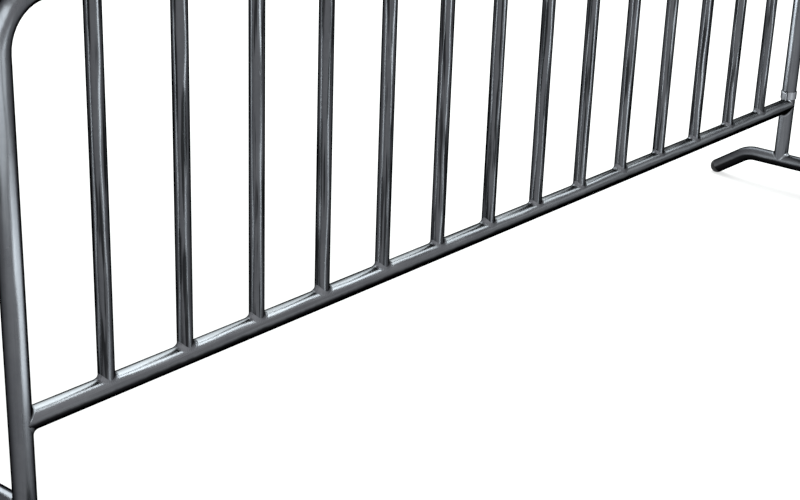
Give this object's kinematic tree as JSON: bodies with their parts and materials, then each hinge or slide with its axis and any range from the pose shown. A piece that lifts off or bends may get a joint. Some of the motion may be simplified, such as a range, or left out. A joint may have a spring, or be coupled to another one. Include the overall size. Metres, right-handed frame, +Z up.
{
  "type": "steel crowd-control barrier",
  "caption": "Free-standing tubular steel barrier with a bent frame, upright infill tubes, raised feet, and hooks and eyes for coupling end to end.",
  "frame": {"origin": "on the ground, under the middle of the barrier", "axes": "+X along the barrier from the hook end to the eye end, +Y across it towards the back, +Z up"},
  "size_m": [2.645, 0.4124, 0.913],
  "materials": {
    "galvanised_tube": "bright galvanised",
    "galvanised_fitting": "galvanised, slightly duller",
    "galvanised_weld": "galvanised weld bead, rippled",
    "end_cap": "black moulded plastic"
  },
  "bodies": {
    "root": {"frame_tube": "galvanised_tube", "bottom_rail": "galvanised_tube", "infill_bar_01": "galvanised_tube", "infill_bar_02": "galvanised_tube", "infill_bar_03": "galvanised_tube", "infill_bar_04": "galvanised_tube", "infill_bar_05": "galvanised_tube", "infill_bar_06": "galvanised_tube", "infill_bar_07": "galvanised_tube", "infill_bar_08": "galvanised_tube", "infill_bar_09": "galvanised_tube", "infill_bar_10": "galvanised_tube", "infill_bar_11": "galvanised_tube", "infill_bar_12": "galvanised_tube", "infill_bar_13": "galvanised_tube", "infill_bar_14": "galvanised_tube", "left_foot": "galvanised_tube", "left_foot_cap_front": "end_cap", "left_foot_cap_back": "end_cap", "right_foot": "galvanised_tube", "right_foot_cap_front": "end_cap", "right_foot_cap_back": "end_cap", "collar": "galvanised_fitting", "lower_hook": "galvanised_fitting", "lower_eye": "galvanised_fitting", "upper_hook": "galvanised_fitting", "upper_eye": "galvanised_fitting", "left_foot_welds": "galvanised_weld", "left_rail_welds": "galvanised_weld", "right_foot_welds": "galvanised_weld", "right_rail_welds": "galvanised_weld", "lower_hook_weld": "galvanised_weld", "upper_hook_weld": "galvanised_weld", "lower_eye_welds": "galvanised_weld", "upper_eye_welds": "galvanised_weld"}
  },
  "joints": []
}
